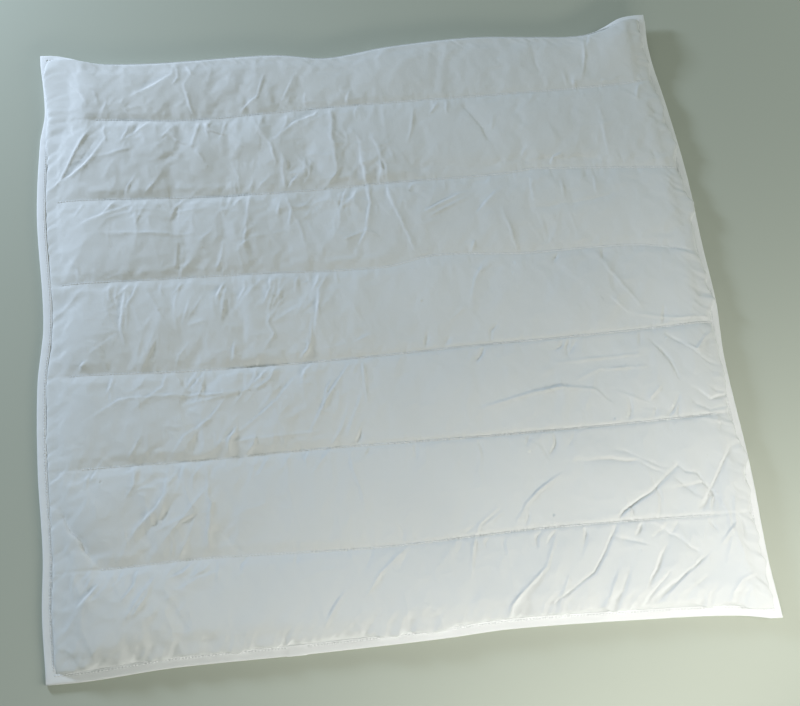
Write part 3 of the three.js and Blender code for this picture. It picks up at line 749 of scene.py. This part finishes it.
def topSurface(x, y):
    px, py = laid(x, y)
    free = ease(fromRim(x, y) / 9.0) * (1 - 0.8 * sewn(x, y, 9.0, 1))
    zone = np.clip(spotSum(px, py, crumpleZones), 0, 1)
    rough = sum(rise * panes(px, py, *layer) for rise, *layer in paneLayers)
    rough = rough + 0.5 * crumple(px, py, 30.0, 23)
    fine = panes(px, py, *finePanes)
    rough = free * ((0.2 + 0.8 * zone) * rough + (0.3 + 0.3 * zone) * fine)
    surface = np.stack([px, py, baseHeight(x, y) + rough], axis=2)
    step = body["finer"]
    cx, cy = x[::step, ::step], y[::step, ::step]
    held = (fromRim(cx, cy) < 0.1) | (sewn(cx, cy, 4.0, 1) > 0.6)
    moved = doubled(doubled(settleCover(surface[::step, ::step].copy(), held)))
    share = (0.2 + 0.35 * zone) * (1 - 0.6 * crispSeam(px, py))
    share = share * (1 - 0.6 * sewn(x, y, 14.0, 1))
    surface = surface + moved * share[..., None]
    surface[..., 2] += free * creaseRise(px, py) + puckers(x, y)
    weight = 1 / (np.stack([x - inner, outer - x, y - inner, outer - y]) + 2) ** 2
    weight = weight / weight.sum(axis=0)
    left = spotSum(px, py, [rolled["left"]])
    far = spotSum(px, py, [rolled["far"]])
    roll = weight[0] * left + weight[3] * (0.6 * left + far)
    uneven = sum(rise * perlin(x, y, *wave) for rise, *wave in overhanging["waves"])
    uneven = overhanging["mean"] + uneven * (1 - overhanging["evenLeft"] * weight[0])
    drawnIn = overhanging["atSeam"] + overhanging["between"] * np.abs(np.sin(math.pi * y / pitch))
    uneven = uneven * (1 + (drawnIn - 1) * weight[1])
    uneven = np.clip(uneven, overhanging["least"], overhanging["most"])
    out = np.tensordot(body["overhang"], weight, 1) * uneven + roll
    bulge = out * np.sin(math.pi * np.clip(fromRim(x, y) / (12 + 0.8 * roll), 0, 1))
    across, away = weight[1] - weight[0], weight[3] - weight[2]
    size = np.maximum(np.hypot(across, away), 1e-6)
    surface[..., 0] += bulge * across / size
    surface[..., 1] += bulge * away / size
    return surface


# Triangles that join a fine ring of points to the outermost line of a coarse grid inside it.
def joinRing(ring, column, row, coarse, step):
    rows, columns = coarse.shape

    def nearest(index, following, count):
        middle = (index + following) / 2 / step - 1
        return np.clip(np.round(middle), 0, count - 1).astype(int)

    apexRow = nearest(row, np.roll(row, -1), rows)
    apexColumn = nearest(column, np.roll(column, -1), columns)
    apex = coarse[apexRow, apexColumn]
    before = np.roll(apex, 1)
    changed = apex != before
    wedges = np.stack([np.roll(ring, -1), ring, apex], axis=1)
    fills = np.stack([ring, before, apex], axis=1)[changed]
    return [wedges, fills]


def makeBody():
    xs, ys = bodyLines()
    x, y = np.meshgrid(xs, ys)
    half = body["hem"] / 2
    rim = edgeStations(xs, ys)
    column, row = roundEdge(len(xs), len(ys))
    count = len(column)
    corners = ((0, half), (body["hemDepth"], half), (body["hemDepth"], -half), (0, -half))
    rings = [atStation(rim, out, up) for out, up in corners]
    ringCut = np.stack([rim["x"], rim["y"]], axis=1)
    topIndex = np.full(x.shape, -1)
    topIndex[row, column] = np.arange(count)
    inside = topIndex < 0
    topIndex[inside] = 4 * count + np.arange(inside.sum())
    top = topSurface(x, y)
    cut = np.stack([x, y], axis=2)

    step = body["finer"]
    ux, uy = np.meshgrid(xs[step:-1:step], ys[step:-1:step])
    underIndex = 4 * count + inside.sum() + np.arange(ux.size).reshape(ux.shape)
    under = np.stack([*laid(ux, uy), bottomHeight(ux, uy)], axis=2).reshape(-1, 3)
    underCut = np.stack([ux, uy], axis=2).reshape(-1, 2)

    faces = [gridFaces(topIndex), gridFaces(underIndex, flip=True)]
    for k in range(3):
        a = np.arange(count) + k * count
        b = np.roll(np.arange(count), -1) + k * count
        faces.append(np.stack([a, a + count, b + count, b], axis=1))
    faces += joinRing(np.arange(count) + 3 * count, column, row, underIndex, step)
    points = np.concatenate(rings + [top[inside], under])
    uv = np.concatenate([ringCut] * 4 + [cut[inside], underCut])
    piece = makeMesh("padded_cover", points, faces, uv)
    thin = piece.modifiers.new("thin", "DECIMATE")
    thin.ratio = body["triangles"] / sum(len(part) * (part.shape[1] - 2) for part in faces)
    graph = bpy.context.evaluated_depsgraph_get()
    slim = bpy.data.meshes.new_from_object(piece.evaluated_get(graph))
    piece.modifiers.clear()
    piece.data = slim
    print("cover made,", len(slim.polygons), "triangles")
    lines = []
    for number in range(1, channels):
        line = int(np.argmin(np.abs(ys - pitch * number)))
        low = bottomHeight(xs, ys[line] + 0 * xs)
        below = np.stack([top[line, :, 0], top[line, :, 1], low], axis=1)
        lines.append((xs, top[line], below))
    return piece, lines


cover, seamRows = makeBody()


def makeTape():
    steps = int(round((outer - inner) / tape["station"]))
    line = np.linspace(inner, outer, steps + 1)
    rim = edgeStations(line, line)
    slot = body["hem"] / 2 + tape["clear"]
    width = tape["width"]
    skin = slot + tape["leg"]
    flat = width - tape["foldRound"]
    lining = width - tape["lining"]
    across = [flat * share for share in (0, 0.04, 0.1, 0.18, 0.26, 0.36, 0.5, 0.75, 1)]
    heights = [skin - 0.55 * tape["leg"] * math.exp(-out / 0.5) for out in across]
    profile = []  # out, up, 1 on the outer skin
    for k in range(5):
        profile.append((lining - k * lining / 4, slot, 0))
    profile += [(out, up, 1) for out, up in zip(across, heights)]
    for k in range(1, 6):
        turn = math.pi * (0.5 - k / 6)
        profile.append((flat + tape["foldRound"] * math.cos(turn), skin * math.sin(turn), 1))
    profile += [(out, -up, 1) for out, up in zip(across[::-1], heights[::-1])]
    for k in range(5):
        profile.append((k * lining / 4, -slot, 0))
    joint = (rim["y"] <= inner) & (np.abs(rim["x"] - tape["jointAt"]) < tape["jointLength"] / 2)
    run = np.where(np.abs(rim["out"][:, 0]) > 0.5, rim["y"], rim["x"])
    swell = tape["swell"] * np.abs(perlin(run, rim["x"] * 0.1 + rim["y"] * 0.1, 16.0, 61))
    rings = []
    for out, up, outside in profile:
        off = (out - tape["stitchInset"]) / tape["dimpleReach"]
        dimple = tape["dimple"] * math.exp(-(off**2)) * outside
        extra = (tape["jointRise"] * joint + swell) * outside if up > 0 else 0 * swell
        wider = tape["jointWider"] * joint * outside * (out > width / 2)
        rings.append(atStation(rim, out + wider, up + extra - math.copysign(dimple, up)))
    count = len(rim["x"])
    points = np.concatenate(rings)
    faces = []
    for k in range(len(profile)):
        a = np.arange(count) + k * count
        c = np.arange(count) + (k + 1) % len(profile) * count
        faces.append(np.stack([np.roll(c, -1), np.roll(a, -1), a, c], axis=1))
    arc = np.concatenate([[0], np.cumsum(np.linalg.norm(np.diff(rim["base"], axis=0), axis=1))])
    uv = [np.stack([arc, np.full(count, 2.0 * k)], axis=1) for k in range(len(profile))]
    piece = makeMesh("binding_tape", points, faces, np.concatenate(uv))
    lines = [
        atStation(rim, tape["stitchInset"], skin - 0.25 + swell),
        atStation(rim, tape["stitchInset"], 0.25 - skin + 0 * swell),
    ]
    print("binding made,", len(piece.data.polygons), "faces")
    return piece, lines


binding, bindingLines = makeTape()


stitch = dict(
    pitch=3.5,
    length=2.8,
    radius=0.6,
    above=0.1,  # how far a quilting stitch stands off the cover
    aboveCrisp=0.6,  # and what is added where the sewn line is crisp
    below=0.15,
)


# Stitches as small rounded threads, laid end to end along each line.
def makeStitches(name, lines):
    across = 6
    turn = np.arange(across) * 2 * math.pi / across
    ring = np.stack([np.cos(turn), np.sin(turn)], axis=1) * stitch["radius"]
    template = [(-stitch["length"] / 2, 0, 0)]
    for place in (-0.36, 0.36):
        template += [(place * stitch["length"], a, b) for a, b in ring]
    template.append((stitch["length"] / 2, 0, 0))
    template = np.array(template)
    faces = []
    for k in range(across):
        n = (k + 1) % across
        back, nextBack = 1 + k, 1 + n
        front, nextFront = back + across, nextBack + across
        faces += [(0, nextBack, back), (back, nextBack, nextFront), (back, nextFront, front)]
        faces.append((front, nextFront, 1 + 2 * across))
    faces = np.array(faces)
    points, shapes = [], []
    for line in lines:
        length = np.concatenate([[0], np.cumsum(np.linalg.norm(np.diff(line, axis=0), axis=1))])
        at = np.arange(stitch["pitch"] / 2, length[-1], stitch["pitch"])
        centre = np.stack([np.interp(at, length, line[:, k]) for k in range(3)], axis=1)
        ahead = np.stack([np.interp(at + 1, length, line[:, k]) for k in range(3)], axis=1)
        behind = np.stack([np.interp(at - 1, length, line[:, k]) for k in range(3)], axis=1)
        way = ahead - behind
        way /= np.linalg.norm(way, axis=1, keepdims=True)
        beside = np.cross(way, (0, 0, 1.0))
        beside /= np.linalg.norm(beside, axis=1, keepdims=True)
        above = np.cross(beside, way)
        for c, w, s, u in zip(centre, way, beside, above):
            shapes.append(faces + len(points) * len(template))
            points.append(c + template[:, :1] * w + template[:, 1:2] * s + template[:, 2:] * u)
    piece = makeMesh(name, np.concatenate(points), shapes)
    print(name, len(points), "stitches")
    return piece


quiltLines = []
for seam, (xs, top, under) in zip(seams, seamRows):
    sewnPart = (xs > seam["span"][0]) & (xs < seam["span"][1])
    raised = stitch["above"] + stitch["aboveCrisp"] * crispSeam(top[:, 0], top[:, 1])
    quiltLines.append((top + raised[:, None] * (0, 0, 1))[sewnPart])
    quiltLines.append(under[sewnPart] - (0, 0, stitch["below"]))
quilting = makeStitches("quilting_stitches", quiltLines)
edging = makeStitches("binding_stitches", bindingLines)


def nodeTree(name):
    material = bpy.data.materials.new(name)
    material.use_nodes = True
    return material, material.node_tree.nodes, material.node_tree.links


def makeGroup(name, inputs, outputs):
    group = bpy.data.node_groups.new(name, "ShaderNodeTree")
    for label, kind, value in inputs:
        socket = group.interface.new_socket(label, in_out="INPUT", socket_type=kind)
        if value is not None:
            socket.default_value = value
    for label, kind in outputs:
        group.interface.new_socket(label, in_out="OUTPUT", socket_type=kind)
    start = group.nodes.new("NodeGroupInput")
    end = group.nodes.new("NodeGroupOutput")
    return group, start, end


def mathNode(group, kind, first, second=None):
    node = group.nodes.new("ShaderNodeMath")
    node.operation = kind
    for socket, value in zip(node.inputs, (first, second)):
        if isinstance(value, bpy.types.NodeSocket):
            group.links.new(value, socket)
        elif value is not None:
            socket.default_value = value
    return node.outputs[0]


def weaveGroup():
    group, start, end = makeGroup(
        "plainWeave",
        [("Place", "NodeSocketVector", None), ("Threads per metre", "NodeSocketFloat", 3000.0)],
        [("Height", "NodeSocketFloat")],
    )
    split = group.nodes.new("ShaderNodeSeparateXYZ")
    group.links.new(start.outputs["Place"], split.inputs[0])
    waves = []
    for axis in (0, 1):
        phase = mathNode(group, "MULTIPLY", split.outputs[axis], start.outputs["Threads per metre"])
        waves.append(mathNode(group, "SINE", mathNode(group, "MULTIPLY", phase, math.pi)))
    group.links.new(mathNode(group, "MULTIPLY", *waves), end.inputs["Height"])
    return group


def wrinkleGroup():
    group, start, end = makeGroup(
        "fineWrinkles",
        [("Place", "NodeSocketVector", None), ("Scale", "NodeSocketFloat", 40.0)],
        [("Height", "NodeSocketFloat"), ("Mask", "NodeSocketFloat")],
    )
    ridges = group.nodes.new("ShaderNodeTexNoise")
    ridges.noise_type = "RIDGED_MULTIFRACTAL"
    ridges.inputs["Detail"].default_value = 3
    ridges.inputs["Distortion"].default_value = 0.6
    patches = group.nodes.new("ShaderNodeTexNoise")
    patches.inputs["Scale"].default_value = 7
    patches.inputs["Detail"].default_value = 2
    for node in (ridges, patches):
        group.links.new(start.outputs["Place"], node.inputs["Vector"])
    group.links.new(start.outputs["Scale"], ridges.inputs["Scale"])
    mask = group.nodes.new("ShaderNodeMapRange")
    mask.inputs["From Min"].default_value = 0.42
    mask.inputs["From Max"].default_value = 0.62
    group.links.new(patches.outputs["Fac"], mask.inputs["Value"])
    height = mathNode(group, "MULTIPLY", ridges.outputs["Fac"], mask.outputs["Result"])
    group.links.new(height, end.inputs["Height"])
    group.links.new(mask.outputs["Result"], end.inputs["Mask"])
    return group


weave, wrinkles = weaveGroup(), wrinkleGroup()


bumpDepth = dict(wrinkle=0.0012, weave=0.00005)  # metres


def clothMaterial(name, settings):
    material, nodes, links = nodeTree(name)
    shader = nodes["Principled BSDF"]
    shader.inputs["Roughness"].default_value = settings["roughness"]
    shader.inputs["Specular IOR Level"].default_value = 0.3
    shader.inputs["Sheen Weight"].default_value = settings["sheen"]
    shader.inputs["Sheen Roughness"].default_value = 0.45
    place = nodes.new("ShaderNodeTexCoord")
    threads = nodes.new("ShaderNodeGroup")
    threads.node_tree = weave
    threads.inputs["Threads per metre"].default_value = settings["threads"]
    links.new(place.outputs["UV"], threads.inputs["Place"])
    folds = nodes.new("ShaderNodeGroup")
    folds.node_tree = wrinkles
    folds.inputs["Scale"].default_value = settings["wrinkleScale"]
    links.new(place.outputs["Object"], folds.inputs["Place"])
    # Painted shade: the base colour goes a little darker in the patches where the fine wrinkles
    # are, standing in for the shade in those wrinkles.
    paintedWrinkleShading = nodes.new("ShaderNodeMix")
    paintedWrinkleShading.data_type = "RGBA"
    paintedWrinkleShading.inputs["A"].default_value = (*settings["colour"], 1)
    paintedWrinkleShading.inputs["B"].default_value = (*settings["paintedWrinkleShade"], 1)
    links.new(folds.outputs["Mask"], paintedWrinkleShading.inputs["Factor"])
    links.new(paintedWrinkleShading.outputs["Result"], shader.inputs["Base Color"])
    coarse = nodes.new("ShaderNodeBump")
    coarse.inputs["Strength"].default_value = settings["wrinkleStrength"]
    coarse.inputs["Distance"].default_value = bumpDepth["wrinkle"]
    links.new(folds.outputs["Height"], coarse.inputs["Height"])
    fine = nodes.new("ShaderNodeBump")
    fine.inputs["Strength"].default_value = settings["weaveStrength"]
    fine.inputs["Distance"].default_value = bumpDepth["weave"]
    links.new(threads.outputs["Height"], fine.inputs["Height"])
    links.new(coarse.outputs["Normal"], fine.inputs["Normal"])
    links.new(fine.outputs["Normal"], shader.inputs["Normal"])
    return material


# The second colour of each cloth is painted shade, mixed into the base colour where the fine
# wrinkles are.
percale = dict(
    colour=(0.775, 0.79, 0.785), paintedWrinkleShade=(0.755, 0.77, 0.765), roughness=0.8, sheen=0.12,
    threads=2900, weaveStrength=0.35, wrinkleScale=42, wrinkleStrength=0.6,
)
twill = dict(
    colour=(0.89, 0.9, 0.905), paintedWrinkleShade=(0.87, 0.88, 0.885), roughness=0.75, sheen=0.15,
    threads=2200, weaveStrength=0.4, wrinkleScale=60, wrinkleStrength=0.1,
)
thread = dict(
    colour=(0.84, 0.85, 0.86), paintedWrinkleShade=(0.8, 0.81, 0.82), roughness=0.6, sheen=0.1,
    threads=4000, weaveStrength=0.1, wrinkleScale=300, wrinkleStrength=0.05,
)
cover.data.materials.append(clothMaterial("cotton_percale", percale))
binding.data.materials.append(clothMaterial("cotton_tape", twill))
threadMaterial = clothMaterial("sewing_thread", thread)
quilting.data.materials.append(threadMaterial)
edging.data.materials.append(threadMaterial)

floorPlan = dict(reach=4.0, level=-0.0004, colour=(0.5, 0.53, 0.45), roughness=0.9)  # metres
reach = floorPlan["reach"]
floorMesh = bpy.data.meshes.new("floor")
corners = [(-reach, -reach), (reach, -reach), (reach, reach), (-reach, reach)]
floorMesh.from_pydata([(x, y, floorPlan["level"]) for x, y in corners], [], [(0, 1, 2, 3)])
floor = bpy.data.objects.new("floor", floorMesh)
bpy.context.scene.collection.objects.link(floor)
floorMaterial, floorNodes, _ = nodeTree("pale_floor")
floorShader = floorNodes["Principled BSDF"]
floorShader.inputs["Base Color"].default_value = (*floorPlan["colour"], 1)
floorShader.inputs["Roughness"].default_value = floorPlan["roughness"]
floorMesh.materials.append(floorMaterial)


def softLight(name, place, aim, size, power, colour):
    data = bpy.data.lights.new(name, "AREA")
    data.shape = "RECTANGLE"
    data.size, data.size_y = size
    data.energy = power
    data.color = colour
    light = bpy.data.objects.new(name, data)
    light.location = place
    light.rotation_euler = (Vector(aim) - Vector(place)).to_track_quat("-Z", "Y").to_euler()
    light.visible_camera = False
    bpy.context.scene.collection.objects.link(light)


lighting = dict(
    window=dict(
        place=(-1.32, 1.1, 0.55), aim=(-0.1, 0, 0), size=(0.35, 0.25), power=24.5,
        colour=(0.68, 0.8, 1.0),
    ),
    lamp=dict(
        place=(0.34, -0.61, 0.31), aim=(0.08, -0.14, 0), size=(1.2, 0.12), power=3.55,
        colour=(1.0, 0.975, 0.935),
    ),
    door=dict(
        place=(1.3, 0.65, 0.42), aim=(0.2, 0.1, 0), size=(0.5, 0.3), power=2.0,
        colour=(0.93, 1.0, 0.95),
    ),
    room=dict(strength=0.225, colour=(0.86, 0.99, 0.89)),
)
for name in ("window", "lamp", "door"):
    softLight(name, **lighting[name])

world = bpy.data.worlds.new("soft_room")
bpy.context.scene.world = world
world.use_nodes = True
background = world.node_tree.nodes["Background"]
background.inputs["Color"].default_value = (*lighting["room"]["colour"], 1)
background.inputs["Strength"].default_value = lighting["room"]["strength"]
bpy.context.scene.view_settings.view_transform = "Standard"

cameraPlan = dict(place=(-0.1306, -0.6436, 1.4056), turn=(22.985, -3.251, -6.298), lens=58.5)
cameraData = bpy.data.cameras.new("camera")
cameraData.lens = cameraPlan["lens"]
cameraData.sensor_width = 36
camera = bpy.data.objects.new("camera", cameraData)
camera.location = cameraPlan["place"]
camera.rotation_euler = [math.radians(angle) for angle in cameraPlan["turn"]]
bpy.context.scene.collection.objects.link(camera)
bpy.context.scene.camera = camera

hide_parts("quilted_body")
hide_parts("edge_binding")
pieceSlots = (
    (cover, "cover_cotton"),
    (binding, "binding_tape"),
    (quilting, "cover_cotton"),
    (edging, "binding_tape"),
)
for piece, slot in pieceSlots:
    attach(piece, "root")
